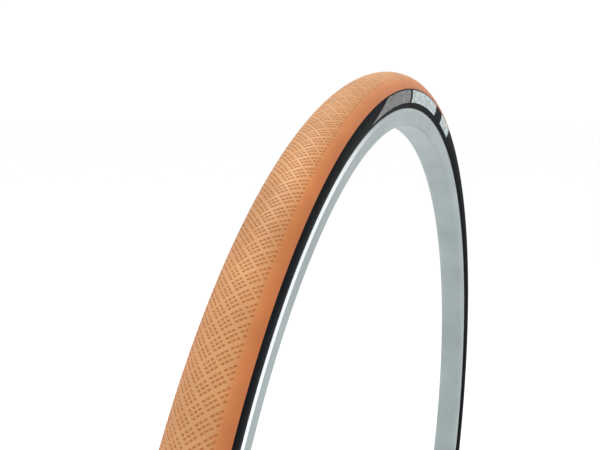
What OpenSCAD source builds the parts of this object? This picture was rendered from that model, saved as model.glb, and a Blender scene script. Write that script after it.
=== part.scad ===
// Bicycle tyre, 32-622, mounted on its rim with tube and valve.
// Frame: the wheel stands upright in the XZ plane with its axle line along Y.
// The origin is the wheel centre, -Y is the front side, and the valve is at the
// bottom and points up along +Z towards the hub.

/* [Tyre] */
// Radius at which the beads sit on the rim (half of 622 mm)
bead_seat_r = 311; // [310.8:0.1:311.2]
// Radius of the round tyre section (half of the 32 mm width)
section_r = 16; // [15.8:0.1:16.2]
// Distance from the axle line to the middle of the tyre section
section_centre_r = 327; // [326.8:0.1:327.2]
// Angle from the crown at which the tread compound ends
tread_edge_angle = 76.5; // [70:0.5:80]
// Angle from the crown at which the puncture strip ends
belt_edge_angle = 45; // [35:1:50]
// Rubber thickness between the crown and the casing
crown_rubber = 2.6; // [2.4:0.1:2.8]
// Thickness of the puncture strip
belt_thickness = 0.8; // [0.5:0.1:1]
// Thickness of one casing ply
ply_thickness = 0.4; // [0.3:0.05:0.4]
// Radius of one bead cable
bead_cable_r = 1; // [0.8:0.05:1.1]
// Thickness of the fabric chafer round each bead
chafer_thickness = 0.4; // [0.3:0.05:0.5]

/* [Sidewall label] */
// Thickness of the printed transfer
label_thickness = 0.12; // [0.08:0.01:0.15]
// Gap that the adhesive film fills under the transfer
label_gap = 0.02; // [0.01:0.01:0.03]
// Angle from the crown at which the label starts
label_top_angle = 80; // [79:1:85]
// Angle from the crown at which the label ends
label_bottom_angle = 112; // [105:1:116]

/* [Tube] */
// Wall thickness of the inner tube
tube_wall = 0.9; // [0.6:0.1:1]
// Gap between the tube and the casing
tube_gap = 0.1; // [0.05:0.05:0.2]

/* [Rim] */
// Outside width of the rim
rim_w = 26.2; // [26:0.1:26.4]
// Thickness of each rim flange
flange_t = 2.6; // [2.5:0.1:2.7]
// Height of the flange above the bead seat
flange_h = 6; // [5.8:0.1:6]
// Depth of the rim from the flange top to the spoke side
rim_depth = 13.4; // [13.2:0.1:13.6]
// Radius of the rounded corners on the spoke side
rim_corner_r = 4.6; // [4:0.1:5]
// Wall thickness of the hollow rim
rim_wall = 1.4; // [1.2:0.1:1.5]
// Half width of the central well
well_half_w = 7; // [6.5:0.1:7.2]
// Drop of the well below the bead seats
well_drop = 1.4; // [1.2:0.1:1.6]
// Length of the sleeve that joins the two rim ends
sleeve_l = 60; // [40:5:80]
// Thickness of the rim tape
tape_t = 0.5; // [0.3:0.1:0.6]

/* [Valve] */
// Radius of the threaded valve stem
stem_r = 3; // [2.9:0.05:3.1]
// Length of the stem beyond the tube
stem_l = 40; // [36:1:42]
// Radius of the valve hole in the rim
valve_hole_r = 3.3; // [3.2:0.05:3.5]
// Radius of the valve pin
pin_r = 0.8; // [0.7:0.05:0.9]
// Running clearance round the pin
pin_gap = 0.07; // [0.03:0.01:0.1]
// Height of the lock nut above the valve core when it is backed off
nut_lift = 1.3; // [1.2:0.1:1.5]
// Radius of the ring nut on the stem
ring_nut_r = 6; // [5:0.1:7]
// Length of the dust cap
cap_l = 26; // [25:0.5:27]
// Outside radius of the dust cap
cap_r = 4.1; // [4:0.1:4.5]

/* [Hidden] */
$fn = 180;
nose_r = flange_t / 2;
rim_r = bead_seat_r + flange_h;
rim_inner_r = rim_r - rim_depth;
rim_half_w = rim_w / 2;
flange_inner = rim_half_w - flange_t;
well_r = bead_seat_r - well_drop;
crown_r = section_centre_r + section_r;
casing_r = section_r - 1.8;
casing_centre_r = crown_r - crown_rubber - casing_r;
cavity_r = casing_r - 2 * ply_thickness;
tube_r = cavity_r - tube_gap;
tube_low_r = casing_centre_r - tube_r;
foot_outer = flange_inner - 0.05;
foot_inner = 7.6;
foot_low_r = bead_seat_r + 0.05;
foot_high_r = bead_seat_r + 5;
bead_r = foot_low_r + chafer_thickness + ply_thickness + bead_cable_r;
bead_y = (foot_inner + foot_outer) / 2;
stem_foot_z = -tube_low_r - tube_wall;
stem_top_z = stem_l - tube_low_r;
core_bore_r = pin_r + pin_gap;
core_outer_r = 1.9;
core_head_r = 2.6;
core_head_h = 5;
core_l = 15;
core_top_z = stem_top_z + core_head_h;
core_low_z = stem_top_z - core_l;
seal_h = 2;
seal_low_z = core_low_z - 0.1 - seal_h;
lock_nut_z = core_top_z + nut_lift;
lock_nut_h = 2.8;
lock_nut_r = 2.3;
pin_top_z = lock_nut_z + lock_nut_h + 1.6;
ring_nut_h = 3.2;
ring_nut_gap = 0.1;
cap_top_z = pin_top_z + 2.4;
cap_low_z = cap_top_z - cap_l;

// Turns a half-plane outline (radius, distance to the front) round the axle line.
module turned(from = 0, sweep = 360) {
    rotate([90, 0, 0])
        rotate([0, 0, from])
            rotate_extrude(angle = sweep, start = 0)
                children();
}

// A point on a ray from the middle of the tyre section, at an angle from the crown.
function ray(angle) = [section_centre_r + 40 * cos(angle), 40 * sin(angle)];

// The part of the section between two angles from the crown.
module wedge(low, high) {
    steps = 6;
    polygon(concat([[section_centre_r, 0]],
                   [for (i = [0:steps]) ray(low + (high - low) * i / steps)]));
}

module disc(centre_r, r, off = 0) {
    translate([centre_r, off])
        circle(r);
}

// Everything that the tyre's rubber and casing fill, with the cavity left out.
module tyre_wall() {
    difference() {
        disc(section_centre_r, section_r);
        disc(casing_centre_r, casing_r);
    }
}

module puncture_band() {
    intersection() {
        difference() {
            disc(casing_centre_r, casing_r + belt_thickness);
            disc(casing_centre_r, casing_r);
        }
        wedge(-belt_edge_angle, belt_edge_angle);
    }
}

module tread() {
    color([0.80, 0.56, 0.37])
        turned()
            difference() {
                intersection() {
                    tyre_wall();
                    wedge(-tread_edge_angle, tread_edge_angle);
                }
                puncture_band();
            }
}

module puncture_strip() {
    color([0.75, 0.68, 0.45])
        turned()
            puncture_band();
}

// The black side rubber, from the tread edge down to the rim flange.
module sidewall_front() {
    color([0.12, 0.15, 0.17])
        turned()
            difference() {
                intersection() {
                    tyre_wall();
                    wedge(tread_edge_angle, 160);
                    translate([foot_high_r, 0])
                        square([40, 20]);
                }
                disc(rim_r - nose_r, nose_r + 0.05, rim_half_w - nose_r);
            }
}

module sidewall_back() {
    mirror([0, 1, 0])
        sidewall_front();
}

// The bead foot between the flange and the cavity, pulled in by a margin.
module foot(margin) {
    difference() {
        translate([foot_low_r + margin, foot_inner + margin])
            square([foot_high_r - foot_low_r - margin,
                    foot_outer - foot_inner - 2 * margin]);
        disc(casing_centre_r, casing_r);
    }
}

module ply_band(outer_r) {
    intersection() {
        difference() {
            disc(casing_centre_r, outer_r);
            disc(casing_centre_r, outer_r - ply_thickness);
        }
        translate([foot_high_r, -20])
            square([40, 40]);
    }
}

module bead_wrap() {
    difference() {
        foot(chafer_thickness);
        disc(bead_r, bead_cable_r, bead_y);
    }
}

// The outer ply turns round both bead cables.
module ply_outer() {
    color([0.45, 0.42, 0.36]) {
        turned()
            ply_band(casing_r);
        turned()
            bead_wrap();
        turned()
            mirror([0, 1])
                bead_wrap();
    }
}

module ply_inner() {
    color([0.52, 0.48, 0.40])
        turned()
            ply_band(casing_r - ply_thickness);
}

module bead_cable_front() {
    color([0.70, 0.58, 0.30])
        turned()
            disc(bead_r, bead_cable_r, bead_y);
}

module bead_cable_back() {
    mirror([0, 1, 0])
        bead_cable_front();
}

module chafer_front() {
    color([0.10, 0.10, 0.11])
        turned()
            difference() {
                foot(0);
                foot(chafer_thickness);
            }
}

module chafer_back() {
    mirror([0, 1, 0])
        chafer_front();
}

// One field of the transfer, between two angles round the wheel.
module label_field(from, to) {
    turned(from, to - from)
        intersection() {
            difference() {
                disc(section_centre_r, section_r + label_gap + label_thickness);
                disc(section_centre_r, section_r + label_gap);
            }
            wedge(label_top_angle, label_bottom_angle);
        }
}

// Plain transfer in three fields, with narrow gaps between them.
module label_front() {
    color([0.42, 0.45, 0.46]) {
        label_field(91.2, 107.5);
        label_field(75.5, 90.2);
        label_field(64.5, 71);
    }
}

module label_back() {
    rotate([0, 0, 180])
        label_front();
}

module valve_hole(r) {
    translate([0, 0, -section_centre_r])
        cylinder(r = r, h = 40);
}

module inner_tube() {
    color([0.08, 0.08, 0.09])
        difference() {
            turned()
                difference() {
                    disc(casing_centre_r, tube_r);
                    disc(casing_centre_r, tube_r - tube_wall);
                }
            valve_hole(stem_r);
        }
}

// Oval reinforcement bonded to the tube where the stem leaves it.
module valve_patch() {
    patch_r = 6;
    patch_reach = 7;
    color([0.14, 0.14, 0.15])
        difference() {
            intersection() {
                turned()
                    difference() {
                        disc(casing_centre_r, tube_r + 0.8);
                        disc(casing_centre_r, tube_r);
                    }
                translate([0, 0, -section_centre_r])
                    linear_extrude(20)
                        union() {
                            translate([-patch_reach, 0])
                                circle(patch_r);
                            translate([patch_reach, 0])
                                circle(patch_r);
                            square([2 * patch_reach, 2 * patch_r], center = true);
                        }
            }
            valve_hole(stem_r);
        }
}

// What is removed from a square corner to round it: the corner points towards
// the signs in "to", and the arc's centre is at (centre_r, y).
module corner_waste(centre_r, y, r, to) {
    spare = 0.5;
    difference() {
        translate([centre_r, y])
            mirror([to[0] < 0 ? 1 : 0, 0])
                mirror([0, to[1] < 0 ? 1 : 0])
                    square(r + spare);
        disc(centre_r, r, y);
    }
}

// The rounded corner on the spoke side and the rounded flange top.
module rim_rounding() {
    corner_waste(rim_inner_r + rim_corner_r, rim_half_w - rim_corner_r, rim_corner_r, [-1, 1]);
    corner_waste(rim_r - nose_r, rim_half_w - nose_r, nose_r, [1, 1]);
    corner_waste(rim_r - nose_r, rim_half_w - nose_r, nose_r, [1, -1]);
}

// One side of the rim section, from the spoke side up to the middle of the well.
function rim_side(s) = [
    [rim_inner_r, s * rim_half_w],
    [rim_r, s * rim_half_w],
    [rim_r, s * flange_inner],
    [bead_seat_r, s * flange_inner],
    [bead_seat_r, s * foot_inner],
    [well_r, s * well_half_w]];

module rim_outline() {
    back = rim_side(-1);
    difference() {
        polygon(concat(rim_side(1), [for (i = [len(back) - 1:-1:0]) back[i]]));
        rim_rounding();
        mirror([0, 1])
            rim_rounding();
    }
}

// The closed chamber inside the rim, pulled in by a margin.
module chamber(margin) {
    low = rim_inner_r + rim_wall + margin;
    knee = rim_inner_r + rim_corner_r;
    high = well_r - rim_wall - margin;
    wide = rim_half_w - rim_wall - margin;
    polygon([
        [low, -wide + 3.2],
        [low, wide - 3.2],
        [knee - 1, wide],
        [high, wide],
        [high, -wide],
        [knee - 1, -wide]]);
}

module rim() {
    color([0.72, 0.75, 0.75])
        difference() {
            turned()
                difference() {
                    rim_outline();
                    chamber(0);
                }
            valve_hole(valve_hole_r);
        }
}

// Sleeve in the chamber that joins the two rim ends, opposite the valve.
module rim_sleeve() {
    sweep = sleeve_l / rim_inner_r * 180 / PI;
    color([0.62, 0.64, 0.66])
        turned(90 - sweep / 2, sweep)
            chamber(0.05);
}

module rim_tape() {
    color([0.16, 0.30, 0.55])
        difference() {
            turned()
                translate([well_r, -well_half_w + 0.2])
                    square([tape_t, 2 * well_half_w - 0.4]);
            valve_hole(valve_hole_r);
        }
}

module valve_stem() {
    foot_h = 1.2;
    foot_r = 4;
    foot_gap = 0.7;
    color([0.82, 0.79, 0.70])
        difference() {
            union() {
                translate([0, 0, stem_foot_z - foot_gap - foot_h])
                    cylinder(r = foot_r, h = foot_h);
                translate([0, 0, stem_foot_z - foot_gap - foot_h / 2])
                    cylinder(r = stem_r, h = stem_top_z - stem_foot_z + foot_gap + foot_h / 2);
            }
            translate([0, 0, stem_foot_z - 5])
                cylinder(r = core_outer_r, h = stem_l + 10);
        }
}

// The replaceable core, with two wrench flats on its head.
module valve_core() {
    flat = 2.2;
    color([0.78, 0.66, 0.38])
        difference() {
            union() {
                translate([0, 0, core_low_z])
                    cylinder(r = core_outer_r, h = core_l + 1);
                intersection() {
                    translate([0, 0, stem_top_z])
                        cylinder(r = core_head_r, h = core_head_h);
                    translate([-core_head_r, -flat, stem_top_z])
                        cube([2 * core_head_r, 2 * flat, core_head_h]);
                }
            }
            translate([0, 0, core_low_z - 1])
                cylinder(r = core_bore_r, h = core_l + core_head_h + 2);
        }
}

module valve_seal() {
    color([0.10, 0.10, 0.10])
        difference() {
            translate([0, 0, seal_low_z])
                cylinder(r = core_outer_r - 0.4, h = seal_h);
            translate([0, 0, seal_low_z - 1])
                cylinder(r = pin_r, h = seal_h + 2);
        }
}

module valve_pin() {
    color([0.80, 0.70, 0.42]) {
        translate([0, 0, seal_low_z])
            cylinder(r = pin_r, h = pin_top_z - seal_low_z);
        translate([0, 0, seal_low_z - 0.8])
            cylinder(r = pin_r + 0.5, h = 0.8);
    }
}

// Knurled ring with grooves along its edge.
module knurled_ring(r, h, bore_r, grooves, groove_r) {
    difference() {
        cylinder(r = r, h = h);
        translate([0, 0, -1])
            cylinder(r = bore_r, h = h + 2);
        for (i = [0:grooves - 1])
            rotate([0, 0, i * 360 / grooves])
                translate([r + groove_r / 2, 0, -1])
                    cylinder(r = groove_r, h = h + 2, $fn = 40);
    }
}

module lock_nut() {
    color([0.84, 0.76, 0.50])
        translate([0, 0, lock_nut_z])
            knurled_ring(lock_nut_r, lock_nut_h, core_bore_r, 12, 0.35);
}

module ring_nut() {
    color([0.80, 0.81, 0.82])
        translate([0, 0, ring_nut_gap - rim_inner_r])
            knurled_ring(ring_nut_r, ring_nut_h, stem_r + 0.07, 16, 0.6);
}

module dust_cap() {
    cap_wall = 1;
    color([0.10, 0.10, 0.11])
        difference() {
            translate([0, 0, cap_low_z])
                cylinder(r = cap_r, h = cap_l);
            translate([0, 0, cap_low_z - 1])
                cylinder(r = stem_r + 0.1, h = cap_l - cap_wall + 1);
        }
}

tread();
puncture_strip();
sidewall_front();
sidewall_back();
ply_outer();
ply_inner();
bead_cable_front();
bead_cable_back();
chafer_front();
chafer_back();
label_front();
label_back();
inner_tube();
valve_patch();
rim();
rim_sleeve();
rim_tape();
valve_stem();
valve_core();
valve_seal();
valve_pin();
lock_nut();
ring_nut();
dust_cap();
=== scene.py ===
import math
from collections import Counter

import bmesh
import bpy
import numpy as np
from mathutils import Matrix, Vector


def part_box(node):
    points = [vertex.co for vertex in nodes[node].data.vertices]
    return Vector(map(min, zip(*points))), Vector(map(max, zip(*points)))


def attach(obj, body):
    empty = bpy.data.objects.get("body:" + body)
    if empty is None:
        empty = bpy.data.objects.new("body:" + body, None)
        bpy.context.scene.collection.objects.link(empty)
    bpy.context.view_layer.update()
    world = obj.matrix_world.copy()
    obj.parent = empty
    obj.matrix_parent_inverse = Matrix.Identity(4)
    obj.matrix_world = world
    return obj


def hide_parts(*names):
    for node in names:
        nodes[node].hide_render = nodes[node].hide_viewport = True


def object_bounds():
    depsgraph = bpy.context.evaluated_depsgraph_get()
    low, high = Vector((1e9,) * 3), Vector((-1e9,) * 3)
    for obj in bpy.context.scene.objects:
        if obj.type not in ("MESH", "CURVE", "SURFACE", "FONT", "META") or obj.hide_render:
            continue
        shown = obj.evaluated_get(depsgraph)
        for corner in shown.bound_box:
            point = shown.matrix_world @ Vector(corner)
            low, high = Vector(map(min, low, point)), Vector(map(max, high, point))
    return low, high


# A bicycle tyre on its rim. The wheel stands in the XZ plane with its axle along Y. The front is
# towards -Y, and the valve is at the bottom.
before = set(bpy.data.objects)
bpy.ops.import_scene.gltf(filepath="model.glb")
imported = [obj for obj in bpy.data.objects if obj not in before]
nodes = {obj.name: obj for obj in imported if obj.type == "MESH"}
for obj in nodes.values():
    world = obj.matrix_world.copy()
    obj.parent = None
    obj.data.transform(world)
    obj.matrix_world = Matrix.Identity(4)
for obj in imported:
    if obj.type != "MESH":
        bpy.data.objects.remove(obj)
cad_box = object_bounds()

# ---------------------------------------------------------------- sizes, in metres
MM = 0.001
TAU = 2 * math.pi

tread_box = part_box("tread")
rim_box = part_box("rim")

CROWN_R = tread_box[1][2]
SECTION_R = 16 * MM
SECTION_CENTRE_R = CROWN_R - SECTION_R
CROWN_RUBBER, SIDE_RUBBER = 2.6 * MM, 1.8 * MM
CASING_R = SECTION_R - SIDE_RUBBER
CASING_CENTRE_R = CROWN_R - CROWN_RUBBER - CASING_R
TREAD_EDGE = math.radians(76.5)
# The same edge seen from the centre of the casing's arc, in degrees
CASING_EDGE = math.degrees(TREAD_EDGE - math.asin(
    (SECTION_CENTRE_R - CASING_CENTRE_R) * math.sin(TREAD_EDGE) / CASING_R))

RIM_R = rim_box[1][2]
RIM_HALF_W = rim_box[1][1]
RIM_DEPTH = 13.4 * MM
RIM_CORNER_R = 4.6 * MM
FLANGE_T = 2.6 * MM
FLANGE_H = 6 * MM
BEAD_SEAT_R = RIM_R - FLANGE_H
NOSE_R = FLANGE_T / 2


def srgb(r, g, b):
    """A colour given as 0 to 255 screen values, as linear light."""
    def one(v):
        v /= 255
        return v / 12.92 if v <= 0.04045 else ((v + 0.055) / 1.055) ** 2.4
    return (one(r), one(g), one(b), 1.0)


# ---------------------------------------------------------------- camera, light, floor
# The camera comes from a fit to the outlines of the tyre and the rim in the photo
CAMERA_AT = Vector((-0.47387, -0.13245, 0.31625))
CAMERA_LOOK = Vector((0.9009, 0.3951, -0.1795)).normalized()
CAMERA_LENS = 38.28
SKY_STRENGTH = 1.03
FLOOR_HALF = 30
FLOOR_WHITE = 0.97


def make_camera():
    """The photo's own view."""
    data = bpy.data.cameras.new("camera")
    data.sensor_width = 36
    data.lens = CAMERA_LENS
    data.clip_start = 0.01
    cam = bpy.data.objects.new("camera", data)
    right = CAMERA_LOOK.cross(Vector((0, 0, 1))).normalized()
    up = right.cross(CAMERA_LOOK)
    cam.matrix_world = Matrix.Translation(CAMERA_AT) @ Matrix(
        (right, up, -CAMERA_LOOK)).transposed().to_4x4()
    bpy.context.scene.collection.objects.link(cam)
    bpy.context.scene.camera = cam


def area_light(name, at, towards, size, power):
    """A square lamp that shines towards a point."""
    data = bpy.data.lights.new(name, "AREA")
    data.shape = "SQUARE"
    data.size = size
    data.energy = power
    lamp = bpy.data.objects.new(name, data)
    lamp.location = at
    aim = Vector(towards) - Vector(at)
    lamp.rotation_euler = aim.to_track_quat("-Z", "Y").to_euler()
    bpy.context.scene.collection.objects.link(lamp)


def make_stage():
    """A white sky, two lamps, and a white floor under the part."""
    world = bpy.data.worlds.new("studio")
    world.use_nodes = True
    sky = world.node_tree.nodes["Background"]
    sky.inputs["Color"].default_value = (1, 1, 1, 1)
    sky.inputs["Strength"].default_value = SKY_STRENGTH
    bpy.context.scene.world = world
    bpy.context.scene.view_settings.view_transform = "Standard"
    area_light("key", at=(-0.05, 0.1, 1.75), towards=(-0.15, 0, 0.25), size=0.8, power=13)
    area_light("side", at=(-0.6, -2.0, 0.5), towards=(0, 0, 0), size=1.4, power=2.5)

    half = FLOOR_HALF
    mesh = bpy.data.meshes.new("floor")
    mesh.from_pydata([(-half, -half, 0), (half, -half, 0), (half, half, 0), (-half, half, 0)],
                     [], [(0, 1, 2, 3)])
    floor = bpy.data.objects.new("floor", mesh)
    floor.location.z = cad_box[0][2]
    bpy.context.scene.collection.objects.link(floor)
    mat = new_material("floor_white")
    bsdf = mat.node_tree.nodes["Principled BSDF"]
    bsdf.inputs["Base Color"].default_value = (FLOOR_WHITE, FLOOR_WHITE, FLOOR_WHITE, 1)
    bsdf.inputs["Roughness"].default_value = 0.9
    mesh.materials.append(mat)


# ---------------------------------------------------------------- materials
def new_material(name):
    mat = bpy.data.materials.new(name)
    mat.use_nodes = True
    return mat


class Nodes:
    """Short calls for building one material's nodes."""

    def __init__(self, name, roughness=0.5, metallic=0.0, **sockets):
        self.mat = new_material(name)
        self.tree = self.mat.node_tree
        self.bsdf = self.tree.nodes["Principled BSDF"]
        self.bsdf.inputs["Roughness"].default_value = roughness
        self.bsdf.inputs["Metallic"].default_value = metallic
        for key, value in sockets.items():
            self.bsdf.inputs[key.replace("_", " ")].default_value = value
        self.position = self.tree.nodes.new("ShaderNodeTexCoord").outputs["Object"]

    def link(self, a, b):
        self.tree.links.new(a, b)

    def noise(self, scale, detail, stretch=None, roughness=0.55):
        """Noise from 0 to 1; scale is about how many blotches there are to the metre."""
        source = self.position
        if stretch:
            mapping = self.tree.nodes.new("ShaderNodeMapping")
            mapping.inputs["Scale"].default_value = stretch
            self.link(source, mapping.inputs["Vector"])
            source = mapping.outputs["Vector"]
        tex = self.tree.nodes.new("ShaderNodeTexNoise")
        tex.inputs["Scale"].default_value = scale
        tex.inputs["Detail"].default_value = detail
        tex.inputs["Roughness"].default_value = roughness
        self.link(source, tex.inputs["Vector"])
        return tex.outputs["Fac"]

    def math(self, kind, a, b=None):
        node = self.tree.nodes.new("ShaderNodeMath")
        node.operation = kind
        for socket, value in zip(node.inputs, (a, b)):
            if value is None:
                continue
            if isinstance(value, (int, float)):
                socket.default_value = value
            else:
                self.link(value, socket)
        return node.outputs[0]

    def ramp(self, fac, stops, smooth=False):
        """A colour for a value from 0 to 1, from stops of (value, colour)."""
        node = self.tree.nodes.new("ShaderNodeValToRGB")
        band = node.color_ramp
        if smooth:
            band.interpolation = "EASE"
        while len(band.elements) < len(stops):
            band.elements.new(0.5)
        for element, (at, colour) in zip(band.elements, stops):
            element.position = at
            element.color = colour
        self.link(fac, node.inputs["Fac"])
        return node.outputs["Color"]

    def mix(self, kind, fac, a, b):
        node = self.tree.nodes.new("ShaderNodeMix")
        node.data_type = "RGBA"
        node.blend_type = kind
        for socket, value in ((node.inputs[0], fac), (node.inputs[6], a), (node.inputs[7], b)):
            if isinstance(value, (int, float, tuple)):
                socket.default_value = value
            else:
                self.link(value, socket)
        return node.outputs[2]

    def colour(self, socket):
        self.link(socket, self.bsdf.inputs["Base Color"])

    def rough(self, fac, low, high):
        """Roughness from low to high as fac goes from 0 to 1."""
        node = self.tree.nodes.new("ShaderNodeMapRange")
        node.inputs["To Min"].default_value = low
        node.inputs["To Max"].default_value = high
        self.link(fac, node.inputs["Value"])
        self.link(node.outputs["Result"], self.bsdf.inputs["Roughness"])

    def bump(self, height, distance, strength):
        node = self.tree.nodes.new("ShaderNodeBump")
        node.inputs["Distance"].default_value = distance
        node.inputs["Strength"].default_value = strength
        self.link(height, node.inputs["Height"])
        self.link(node.outputs["Normal"], self.bsdf.inputs["Normal"])

    def wheel_angle(self):
        """(distance from the axle line, y, angle round the wheel as a share of a full turn)."""
        split = self.tree.nodes.new("ShaderNodeSeparateXYZ")
        self.link(self.position, split.inputs[0])
        x, y, z = split.outputs
        squares = self.math("ADD", self.math("MULTIPLY", x, x), self.math("MULTIPLY", z, z))
        turn = self.math("DIVIDE", self.math("ARCTAN2", z, x), TAU)
        return self.math("SQRT", squares), y, turn

    def section_angle(self):
        """Angle from the crown towards either side, in radians."""
        r, y, _ = self.wheel_angle()
        out = self.math("SUBTRACT", r, SECTION_CENTRE_R)
        return self.math("ARCTAN2", self.math("ABSOLUTE", y), out)


def tread_rubber():
    m = Nodes("tread_rubber", 0.5, Specular_IOR_Level=0.4)
    across = m.math("DIVIDE", m.section_angle(), TREAD_EDGE)
    # Paler at the crown and deeper orange towards the shoulders: partly the rubber's own tone,
    # partly painted sheen on the crown.
    crown_sheen_and_tone = m.ramp(across, [(0.0, srgb(197, 147, 99)), (0.5, srgb(193, 138, 89)),
                           (0.68, srgb(190, 115, 56)), (1.0, srgb(180, 98, 40))])
    patches = m.ramp(m.noise(35, 4), [(0.3, srgb(206, 196, 190)), (0.7, srgb(255, 255, 255))])
    m.colour(m.mix("MULTIPLY", 0.5, crown_sheen_and_tone, patches))
    m.rough(m.noise(180, 3), 0.42, 0.56)
    m.bump(m.noise(2600, 3), 0.05 * MM, 0.5)
    return m.mat


def pit_floor_painted_shade():
    """The floors of the pits: duller than the tread round them, and darker, which is painted shade
    in the recesses.
    """
    m = Nodes("tread_pit_floor_painted_shade", 0.75, Specular_IOR_Level=0.2)
    # Darker than the tread: painted shade in the pits.
    m.colour(m.ramp(m.noise(900, 2), [(0.3, srgb(170, 104, 58)), (0.7, srgb(190, 122, 70))]))
    return m.mat


def side_rubber():
    """Black rubber over casing threads that cross at about 45 degrees."""
    m = Nodes("side_rubber", 0.55, Specular_IOR_Level=0.02)
    tone = m.noise(60, 4)
    m.colour(m.ramp(tone, [(0.25, srgb(8, 11, 14)), (0.75, srgb(15, 20, 24))]))
    r, _, turn = m.wheel_angle()
    thread_pitch = 0.9 * MM
    along = m.math("MULTIPLY", turn, TAU * SECTION_CENTRE_R / thread_pitch)
    across = m.math("DIVIDE", r, thread_pitch)
    threads = [m.math("SINE", m.math("MULTIPLY", m.math(k, along, across), math.pi))
               for k in ("ADD", "SUBTRACT")]
    m.bump(m.math("ADD", m.math("MULTIPLY", threads[0], threads[1]), m.noise(1500, 2)),
           0.06 * MM, 0.5)
    m.rough(m.noise(120, 3), 0.45, 0.6)
    return m.mat


def rim_satin():
    """The dull silver of the rim and of its sleeve."""
    m = Nodes("rim_satin", 0.38, 0.35, Specular_IOR_Level=0.5)
    m.colour(m.ramp(m.noise(25, 3), [(0.3, srgb(143, 154, 155)), (0.7, srgb(156, 167, 167))]))
    m.rough(m.noise(90, 3), 0.34, 0.44)
    m.bump(m.noise(2200, 2), 0.02 * MM, 0.4)
    return m.mat


PAINTED_GLINT_TURN = 145 / 360         # where round the wheel one painted highlight is brightest; the other is opposite


def rim_strip_painted_glint():
    """The machined strip: fine turning lines, and two broad painted highlights in its colour,
    opposite each other round the wheel, like the glints that turned metal shows.
    """
    m = Nodes("rim_strip_painted_glint", 0.25, 0.6, Specular_IOR_Level=0.5)
    r, _, turn = m.wheel_angle()
    line_pitch = 0.25 * MM
    lines = m.math("SINE", m.math("MULTIPLY", r, TAU / line_pitch))
    doubled = m.math("MULTIPLY", m.math("SUBTRACT", turn, PAINTED_GLINT_TURN), 2 * TAU)
    painted_glint = m.math("MULTIPLY", m.math("ADD", m.math("COSINE", doubled), 1), 0.5)
    # The strip's colour runs from grey to near white by angle round the wheel: a painted highlight.
    m.colour(m.ramp(painted_glint, [(0.5, srgb(150, 161, 161)), (0.85, srgb(240, 245, 245))], smooth=True))
    m.rough(m.noise(150, 3), 0.2, 0.3)
    m.bump(lines, 0.008 * MM, 0.5)
    return m.mat


def label_print(name, low, high, blotch):
    """Worn printed film: mottled greys with no lettering."""
    m = Nodes(name, 0.45, Specular_IOR_Level=0.4)
    m.colour(m.ramp(m.noise(blotch, 5, roughness=0.7), [(0.38, low), (0.62, high)]))
    m.rough(m.noise(300, 2), 0.38, 0.55)
    m.bump(m.noise(1800, 2), 0.03 * MM, 0.4)
    return m.mat


def plain_rubber(name, low, high):
    """Black rubber for the tube, the valve's patch and the seal."""
    roughness = 0.6
    m = Nodes(name, roughness, Specular_IOR_Level=0.35)
    m.colour(m.ramp(m.noise(140, 4), [(0.3, low), (0.7, high)]))
    m.rough(m.noise(260, 2), roughness - 0.1, roughness + 0.1)
    m.bump(m.noise(2400, 2), 0.04 * MM, 0.4)
    return m.mat


def woven(name, low, high, pitch):
    """Threads at about 45 degrees round the wheel, for the casing, strip, chafer and tape."""
    m = Nodes(name, 0.75, Sheen_Weight=0.2)
    r, y, turn = m.wheel_angle()
    along = m.math("MULTIPLY", turn, TAU * CASING_CENTRE_R / pitch)
    across = m.math("DIVIDE", m.math("ADD", r, y), pitch)
    a = m.math("SINE", m.math("MULTIPLY", m.math("ADD", along, across), math.pi))
    b = m.math("SINE", m.math("MULTIPLY", m.math("SUBTRACT", along, across), math.pi))
    weave = m.math("MULTIPLY", m.math("ADD", m.math("MULTIPLY", a, b), 1), 0.5)
    m.colour(m.ramp(weave, [(0.1, low), (0.9, high)]))
    m.bump(weave, 0.15 * MM, 0.7)
    return m.mat


def turned_metal(name, low, high, roughness):
    """Metal with fine rings round the valve's axis. The bead cables use it too."""
    m = Nodes(name, roughness, 1.0)
    m.colour(m.ramp(m.noise(500, 3), [(0.3, low), (0.7, high)]))
    rings = m.noise(900, 3, stretch=(0.05, 0.05, 4))
    m.rough(rings, roughness - 0.08, roughness + 0.12)
    m.bump(rings, 0.01 * MM, 0.5)
    return m.mat


def moulded_plastic(name, low, high):
    m = Nodes(name, 0.4, Specular_IOR_Level=0.45)
    m.colour(m.ramp(m.noise(400, 3), [(0.3, low), (0.7, high)]))
    m.rough(m.noise(900, 3), 0.34, 0.5)
    m.bump(m.noise(3500, 2), 0.02 * MM, 0.5)
    return m.mat


# ---------------------------------------------------------------- mesh building
SHARP_ANGLE = math.radians(38)
RING_STEPS = 720


def piece(name, verts, faces, materials, slots=None, *, slot, replaces, body="wheel"):
    """A closed, smooth-shaded mesh that rides on a body and stands for CAD nodes."""
    mesh = bpy.data.meshes.new(name)
    mesh.from_pydata(verts, [], faces)
    for mat in materials:
        mesh.materials.append(mat)
    if slots is not None:
        mesh.polygons.foreach_set("material_index", slots)
    mesh.polygons.foreach_set("use_smooth", [True] * len(mesh.polygons))
    shell = bmesh.new()
    shell.from_mesh(mesh)
    open_edges = [e for e in shell.edges if e.is_boundary]
    if open_edges:
        bmesh.ops.holes_fill(shell, edges=open_edges, sides=0)
    bmesh.ops.recalc_face_normals(shell, faces=shell.faces)
    shell.to_mesh(mesh)
    shell.free()
    mesh.set_sharp_from_angle(angle=SHARP_ANGLE)
    obj = bpy.data.objects.new(name, mesh)
    bpy.context.scene.collection.objects.link(obj)
    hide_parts(*replaces)
    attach(obj, body)


def on_wheel(turn, r, side):
    """A point at an angle round the wheel (0 on +X, towards +Z); side is towards the front."""
    return (r * math.cos(turn), -side, r * math.sin(turn))


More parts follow.
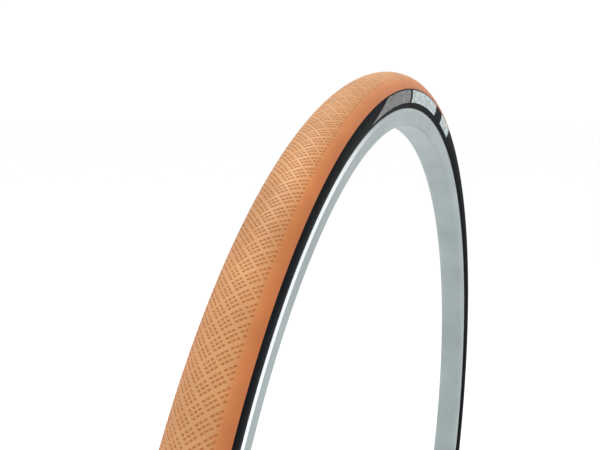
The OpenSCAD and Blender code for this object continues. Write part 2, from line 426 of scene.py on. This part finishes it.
def on_section(turn, angle, height=0.0):
    """A point on the round section, at an angle from the crown towards the front."""
    reach = SECTION_R + height
    return on_wheel(turn, SECTION_CENTRE_R + reach * math.cos(angle), reach * math.sin(angle))


def arc(centre, radius, start, stop, steps):
    """Points (distance from the axle line, side) along an arc; angles in degrees."""
    angles = np.radians(np.linspace(start, stop, steps + 1))
    return [(centre[0] + radius * math.cos(a), centre[1] + radius * math.sin(a)) for a in angles]


def ring(name, outline, kinds, materials, **facts):
    """Turns a closed outline round the axle line. kinds gives each edge's material."""
    count = len(outline)
    verts = [on_wheel(TAU * i / RING_STEPS, r, side)
             for i in range(RING_STEPS) for r, side in outline]
    faces, slots = [], []
    for i in range(RING_STEPS):
        here, there = i * count, (i + 1) % RING_STEPS * count
        for j in range(count):
            k = (j + 1) % count
            faces.append((here + j, here + k, there + k, there + j))
            slots.append(kinds[j])
    piece(name, verts, faces, materials, slots, **facts)


# ---------------------------------------------------------------- tread
# The tread is a lattice of crossed diagonal lines. Lines i run one way and lines j the other;
# every fourth strip between lines is a plain rib, so the pits stand in groups of three by three.
GROUPS = 232                   # groups round the wheel, in each column of groups
GROUP_CELLS = 4                # three strips of pits, then the rib
RIB_SHARE = 0.12               # share of a group's side that the rib takes
COLUMN_STEP = 4.55 * MM        # from one column of groups to the next, at the crown
WIDENING = 700                 # how fast the columns spread towards the shoulders, per m squared
PIT_LIMIT = 13.4 * MM          # how far round the section from the crown a pit's middle may be
PIT_LONG, PIT_SHORT = 0.84, 0.54     # shares of a cell that the pit's mouth takes
FLOOR_SHARE = 0.66             # the pit's floor against its mouth
PIT_DEPTH = 0.32 * MM
LEAN_ANGLE = math.radians(12)  # past this angle from the crown the pits are fully drawn out
LOW_COLUMN, HIGH_COLUMN = -13, 15    # straight columns, equally far from the crown
ROWS = GROUPS * GROUP_CELLS
SECTORS = 2                    # how many pieces the tread is made of
SEAM_DEPTH = 0.8 * MM
SHOULDER_ANGLES = (66, 71, 75.4)     # degrees, on the section's arc
INNER_ANGLES = (54, 27)              # degrees, on the casing's arc


def along(line):
    """Where a lattice line lies, counted in groups."""
    whole, part = divmod(line, GROUP_CELLS)
    return whole + part * (1 - RIB_SHARE) / (GROUP_CELLS - 1)


def crossing(i, j):
    """(turn round the wheel, angle from the crown) where lines i and j cross."""
    u, v = along(i), along(j)
    across = (u + v - 0.5 + RIB_SHARE) * COLUMN_STEP
    across *= 1 + WIDENING * across ** 2
    return TAU * (u - v) / (2 * GROUPS), across / SECTION_R


def lines_at(column, row):
    """The lines i and j that cross at a row of a column."""
    i = row + (column + 1) // 2
    return i, column - i


def make_tread():
    """The pitted lattice, its smooth shoulders and the inside face, as one ring cut in sectors."""
    verts = []
    sectors = [([], []) for _ in range(SECTORS)]

    def add(turn, angle, height=0.0):
        """A new point on the round section; gives its number."""
        verts.append(on_section(turn, angle, height))
        return len(verts) - 1

    def face(row, corners, slot=0):
        faces, slots = sectors[row % ROWS * SECTORS // ROWS]
        faces.append(tuple(corners))
        slots.append(slot)

    grid, spot_of = {}, {}
    for k in range(LOW_COLUMN, HIGH_COLUMN + 1):
        spots = [crossing(*lines_at(k, m)) for m in range(ROWS)]
        grid[k] = [add(*spot) for spot in spots]
        spot_of.update(zip(grid[k], spots))

    def point(i, j):
        """The number of the point where lines i and j cross."""
        k = i + j
        return grid[k][(i - (k + 1) // 2) % ROWS]

    def pit(row, corners):
        """Sinks a pit into one cell, unless the cell lies past the pattern's edge."""
        spots = [crossing(*c) for c in corners]
        mid = [sum(v) / 4 for v in zip(*spots)]
        if abs(mid[1]) > PIT_LIMIT / SECTION_R:
            return False
        # Half the way from line i to the next, and from line j to the next, as (turn, angle)
        reach_i = [(b + c - a - d) / 4 for a, b, c, d in zip(*spots)]
        reach_j = [(c + d - a - b) / 4 for a, b, c, d in zip(*spots)]
        # Pits are drawn out along the line whose turn falls from the crown to the shoulder
        lean = max(-1, min(1, mid[1] / LEAN_ANGLE))
        middle, swing = (PIT_LONG + PIT_SHORT) / 2, (PIT_LONG - PIT_SHORT) / 2
        open_i, open_j = middle - swing * lean, middle + swing * lean
        loops = [[point(*c) for c in corners]]
        for share, depth in ((1, 0.0), (FLOOR_SHARE, -PIT_DEPTH)):
            loops.append([add(*(m + share * (x * open_i * p + y * open_j * q)
                                for m, p, q in zip(mid, reach_i, reach_j)), depth)
                          for x, y in ((-1, -1), (1, -1), (1, 1), (-1, 1))])
        for outer, inner in zip(loops, loops[1:]):
            for n in range(4):
                o = (n + 1) % 4
                face(row, (outer[n], outer[o], inner[o], inner[n]))
        # Slot 1 is the pit floor's material, darker with painted shade.
        face(row, loops[-1], 1)
        return True

    for k in range(LOW_COLUMN, HIGH_COLUMN - 1):
        for m in range(ROWS):
            i, j = lines_at(k, m)
            corners = ((i, j), (i + 1, j), (i + 1, j + 1), (i, j + 1))
            rib = GROUP_CELLS - 1 in (i % GROUP_CELLS, j % GROUP_CELLS)
            if rib or not pit(m, corners):
                face(m, [point(*c) for c in corners])
    for m in range(ROWS):
        i, j = lines_at(HIGH_COLUMN, m)
        face(m, (point(i, j), point(i + 1, j - 1), point(i, j - 1)))
        i, j = lines_at(LOW_COLUMN, m)
        face(m, (point(i + 1, j - 1), point(i, j), point(i + 1, j)))

    def rail(column, centre_r, radius, angle):
        """A ring of points beside a column, on an arc of the section."""
        place = (centre_r + radius * math.cos(angle), radius * math.sin(angle))
        first = len(verts)
        verts.extend(on_wheel(crossing(*lines_at(column, m))[0], *place) for m in range(ROWS))
        return range(first, first + ROWS)

    def flank(column, side):
        """Rings from the pattern's edge over the shoulder and in along the casing."""
        rings = [grid[column]]
        for degrees in (*SHOULDER_ANGLES, math.degrees(TREAD_EDGE)):
            rings.append(rail(column, SECTION_CENTRE_R, SECTION_R, side * math.radians(degrees)))
        for degrees in (CASING_EDGE, *INNER_ANGLES):
            rings.append(rail(column, CASING_CENTRE_R, CASING_R, side * math.radians(degrees)))
        return rings

    loop = (flank(HIGH_COLUMN, 1) + [rail(HIGH_COLUMN, CASING_CENTRE_R, CASING_R, 0)]
            + flank(LOW_COLUMN, -1)[::-1])
    for a, b in zip(loop, loop[1:]):
        for m in range(ROWS):
            n = (m + 1) % ROWS
            face(m, (a[m], a[n], b[n], b[m]))

    def wall_seams(faces, slots):
        """Where two sectors meet, a wall goes down from the lattice, so that the face which closes
        the sector's end lies under the skin."""
        uses = Counter(tuple(sorted(pair)) for f in faces for pair in zip(f, f[1:] + f[:1]))
        under = {}
        for (a, b), times in uses.items():
            if times == 1 and a in spot_of and b in spot_of:
                for v in (a, b):
                    if v not in under:
                        under[v] = add(*spot_of[v], -SEAM_DEPTH)
                faces.append((a, b, under[b], under[a]))
                slots.append(0)

    # The second material is the pit floors, darkened with painted shade.
    materials = [tread_rubber(), pit_floor_painted_shade()]
    for number, (faces, slots) in enumerate(sectors):
        wall_seams(faces, slots)
        used = sorted({v for f in faces for v in f})
        place = {v: n for n, v in enumerate(used)}
        piece(f"tread_pattern_{number + 1}", [verts[v] for v in used],
              [tuple(place[v] for v in f) for f in faces], materials, slots,
              slot="tread_rubber", replaces=("tread",))


# ---------------------------------------------------------------- sidewalls and labels
OUTER_FOOT, INNER_FOOT = 127.5, 135.9      # degrees, where the outer and inner arc end low down
NOSE_START, NOSE_END = 28, -78             # degrees, round the flange's nose
NOSE_GAP = 0.06 * MM


def make_sidewall(name, sign, node, material):
    """Black side rubber: down the outside, over the flange's nose, back up along the casing."""
    edge = math.degrees(TREAD_EDGE)
    nose_centre = (RIM_R - NOSE_R, RIM_HALF_W - NOSE_R)
    outer = arc((SECTION_CENTRE_R, 0), SECTION_R, edge, OUTER_FOOT, steps=16)
    nose = arc(nose_centre, NOSE_R + NOSE_GAP, NOSE_START, NOSE_END, steps=8)
    inner = arc((CASING_CENTRE_R, 0), CASING_R, INNER_FOOT, CASING_EDGE, steps=10)
    outline = [(r, sign * side) for r, side in outer + nose + inner]
    if sign < 0:
        outline.reverse()
    ring(name, outline, [0] * len(outline), [material], slot="side_rubber", replaces=(node,))


LABEL_GAP = 0.02 * MM
LABEL_THICKNESS = 0.12 * MM
LABEL_TOP, LABEL_BOTTOM = 80, 113    # degrees from the crown
LABEL_ROWS = 6
# Each field: its two ends and the slant of its far end in degrees round the wheel, then its ink
# (0 dark, 1 light) and its steps
LABEL_FIELDS = [((91.2, 107.5), 6, 0, 40), ((75.5, 90.2), 0, 1, 36), ((64.5, 71), 0, 1, 16)]


def label_patch(verts, faces, slots, span, slant, kind, steps):
    """One closed thin field between two angles round the wheel; its far end is cut back by slant
    degrees at the top."""
    rows = LABEL_ROWS
    first = len(verts)
    for height in (LABEL_GAP, LABEL_GAP + LABEL_THICKNESS):
        for i in range(steps + 1):
            for j in range(rows + 1):
                far = span[1] - slant * (1 - j / rows)
                turn = math.radians(span[0] + (far - span[0]) * i / steps)
                angle = math.radians(LABEL_TOP + (LABEL_BOTTOM - LABEL_TOP) * j / rows)
                verts.append(on_section(turn, angle, height))
    layer = (steps + 1) * (rows + 1)

    def at(level, i, j):
        return first + level * layer + i * (rows + 1) + j

    quads = []
    for i in range(steps):
        for j in range(rows):
            quads.append([at(1, i, j), at(1, i, j + 1), at(1, i + 1, j + 1), at(1, i + 1, j)])
            quads.append([at(0, i, j), at(0, i + 1, j), at(0, i + 1, j + 1), at(0, i, j + 1)])
        quads.append([at(0, i, 0), at(1, i, 0), at(1, i + 1, 0), at(0, i + 1, 0)])
        quads.append([at(0, i, rows), at(0, i + 1, rows), at(1, i + 1, rows), at(1, i, rows)])
    for j in range(rows):
        quads.append([at(0, 0, j), at(0, 0, j + 1), at(1, 0, j + 1), at(1, 0, j)])
        quads.append([at(0, steps, j), at(1, steps, j), at(1, steps, j + 1), at(0, steps, j + 1)])
    faces.extend(tuple(reversed(q)) for q in quads)
    slots.extend([kind] * len(quads))


def make_label(name, node, turned, materials):
    """The three fields of one label; turned takes them half a turn round Z, to the back."""
    verts, faces, slots = [], [], []
    for span, slant, kind, steps in LABEL_FIELDS:
        label_patch(verts, faces, slots, span, slant, kind, steps)
    if turned:
        verts = [(-x, -y, z) for x, y, z in verts]
    piece(name, verts, faces, materials, slots, slot="label", replaces=(node,))


# ---------------------------------------------------------------- rim
STRIP_HEIGHT = 2.9 * MM
SEAT_HALF_W, WELL_HALF_W, WELL_DEPTH = 7.6 * MM, 7 * MM, 1.4 * MM


def rim_outline():
    """Half outline of the rim on the front side, from the spoke side up to the well, with the
    material of each edge: 0 satin, 1 machined strip with painted highlights."""
    inner_r = RIM_R - RIM_DEPTH
    corner = arc((inner_r + RIM_CORNER_R, RIM_HALF_W - RIM_CORNER_R), RIM_CORNER_R, 180, 90,
                 steps=12)
    strip_low = (RIM_R - STRIP_HEIGHT, RIM_HALF_W)
    nose = arc((RIM_R - NOSE_R, RIM_HALF_W - NOSE_R), NOSE_R, 90, -90, steps=12)
    seat = [(BEAD_SEAT_R, RIM_HALF_W - FLANGE_T), (BEAD_SEAT_R, SEAT_HALF_W),
            (BEAD_SEAT_R - WELL_DEPTH, WELL_HALF_W)]
    points = corner + [strip_low] + nose + seat
    kinds = [0] * len(corner) + [1] * len(nose) + [0] * (len(points) - len(corner) - len(nose))
    return points, kinds


def make_rim():
    """The rim's outer skin: the front half of its outline and the mirror image of that."""
    points, kinds = rim_outline()
    back = [(r, -side) for r, side in reversed(points)]
    back_kinds = kinds[-2::-1] + [0]
    # The second material is the machined strip, with painted highlights in its colour.
    ring("rim_profile", points + back, kinds + back_kinds, [rim_satin(), rim_strip_painted_glint()],
         slot="rim_metal", replaces=("rim",))


# ---------------------------------------------------------------- valve
STEM_R = 3 * MM
THREAD_PITCH = 0.8 * MM
THREAD_DEPTH = 0.28 * MM


def spun(name, profile, steps, shape, materials, **facts):
    """A closed outline (height z, radius) turned on the valve's axis; shape(z, radius, turn)
    gives the radius there."""
    count = len(profile)
    verts, faces = [], []
    for i in range(steps):
        turn = TAU * i / steps
        for z, outline_r in profile:
            r = shape(z, outline_r, turn)
            verts.append((r * math.cos(turn), r * math.sin(turn), z))
    for i in range(steps):
        here, there = i * count, (i + 1) % steps * count
        for j in range(count):
            k = (j + 1) % count
            faces.append((here + j, here + k, there + k, there + j))
    piece(name, verts, faces, materials, **facts)


def make_stem(material):
    """The stem with its helical thread."""
    low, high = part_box("valve_stem")[0][2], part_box("valve_stem")[1][2]
    foot_r, foot_h, bore_r = 4 * MM, 1.2 * MM, 1.9 * MM
    bevel_h, bevel_foot, bevel_top = 0.3 * MM, 0.2 * MM, 0.5 * MM
    thread_low, thread_high = low + 3 * MM, high - 0.6 * MM
    rows_per_turn = 6
    last_row = int((thread_high - thread_low) / THREAD_PITCH * rows_per_turn)
    rows = [thread_low + i * THREAD_PITCH / rows_per_turn for i in range(last_row + 1)]
    outline = ([(low, bore_r), (low, foot_r), (low + foot_h, foot_r), (low + foot_h, STEM_R)]
               + [(z, STEM_R) for z in rows]
               + [(high - bevel_h, STEM_R - bevel_foot), (high, STEM_R - bevel_top),
                  (high, bore_r)])

    def thread(z, r, turn):
        if r != STEM_R or z < thread_low:
            return r
        phase = (z / THREAD_PITCH - turn / TAU) % 1
        fade = min(1, (z - thread_low) / THREAD_PITCH)
        return r - THREAD_DEPTH * fade * abs(2 * phase - 1)

    spun("valve_stem_thread", outline, steps=36, shape=thread, materials=[material],
         slot="nickel_brass", replaces=("valve_stem",))


def make_cap(material):
    """The slim moulded cap: a domed end, a waist and grip ribs round its mouth."""
    low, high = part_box("dust_cap")[0][2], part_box("dust_cap")[1][2]
    wide, bore_r, wall = 4.1 * MM, 3.1 * MM, 1 * MM
    waist, mouth_bevel = wide - 0.35 * MM, 0.3 * MM
    grip_high, shoulder = low + 9 * MM, high - 9 * MM
    ribs, rib_depth = 12, 0.3 * MM
    tip_r, tip_flat_r, point_r = 2.2 * MM, 0.9 * MM, 0.001 * MM
    nut_room, core_room = 2.5 * MM, 2.8 * MM
    dome = [(high - tip_r + tip_r * math.sin(a), tip_r * math.cos(a) + tip_flat_r)
            for a in np.linspace(0, math.pi / 2, 7)]
    outline = ([(low, bore_r), (low, wide - mouth_bevel)]
               + [(z, wide) for z in np.linspace(low + mouth_bevel, grip_high, 5)]
               + [(grip_high + 0.5 * MM, waist), (shoulder, waist)]
               + dome + [(high, point_r), (high - wall, point_r),
                         (high - wall - 0.3 * MM, nut_room - 0.7 * MM),
                         (high - 2.3 * MM, nut_room), (shoulder + 1 * MM, core_room),
                         (shoulder - 2 * MM, bore_r)])

    def grip(z, r, turn):
        if r < wide - 0.01 * MM or z > grip_high:
            return r
        return r - rib_depth * (0.5 + 0.5 * math.cos(ribs * turn))

    spun("dust_cap_moulded", outline, steps=96, shape=grip, materials=[material],
         slot="cap_plastic", replaces=("dust_cap",), body="dust_cap")


def paint(material, *names):
    """Gives carried-over CAD nodes their material."""
    for name in names:
        slots = nodes[name].data.materials
        if not slots:
            slots.append(material)
        for i in range(len(slots)):
            slots[i] = material


# ---------------------------------------------------------------- everything
make_camera()
make_stage()
make_tread()
black = side_rubber()
make_sidewall("sidewall_front_skin", 1, "sidewall_front", black)
make_sidewall("sidewall_back_skin", -1, "sidewall_back", black)
label_inks = [label_print("label_dark", srgb(48, 52, 52), srgb(124, 126, 122), 420),
              label_print("label_light", srgb(122, 134, 136), srgb(204, 215, 215), 320)]
make_label("label_front_print", "label_front", False, label_inks)
make_label("label_back_print", "label_back", True, label_inks)
make_rim()

nickel = turned_metal("nickel_plate", srgb(196, 192, 182), srgb(220, 217, 208), 0.24)
brass = turned_metal("turned_brass", srgb(196, 160, 92), srgb(222, 190, 120), 0.28)
make_stem(nickel)
make_cap(moulded_plastic("cap_plastic", srgb(24, 25, 27), srgb(38, 39, 42)))
butyl = plain_rubber("butyl", srgb(24, 24, 26), srgb(44, 44, 47))
ply_weave = woven("casing_weave", srgb(96, 88, 72), srgb(150, 140, 118), 0.7 * MM)
paint(nickel, "ring_nut")
paint(brass, "valve_core", "valve_pin", "lock_nut")
paint(butyl, "inner_tube", "valve_patch", "valve_seal")
paint(ply_weave, "ply_outer", "ply_inner")
paint(woven("strip_weave", srgb(170, 150, 95), srgb(214, 196, 140), 1.1 * MM), "puncture_strip")
paint(woven("chafer_weave", srgb(20, 20, 22), srgb(46, 46, 49), 0.6 * MM),
      "chafer_front", "chafer_back")
paint(woven("tape_weave", srgb(28, 56, 108), srgb(54, 92, 156), 0.5 * MM), "rim_tape")
paint(turned_metal("bead_wire", srgb(170, 140, 84), srgb(206, 178, 120), 0.35),
      "bead_cable_front", "bead_cable_back")
paint(rim_satin(), "rim_sleeve")
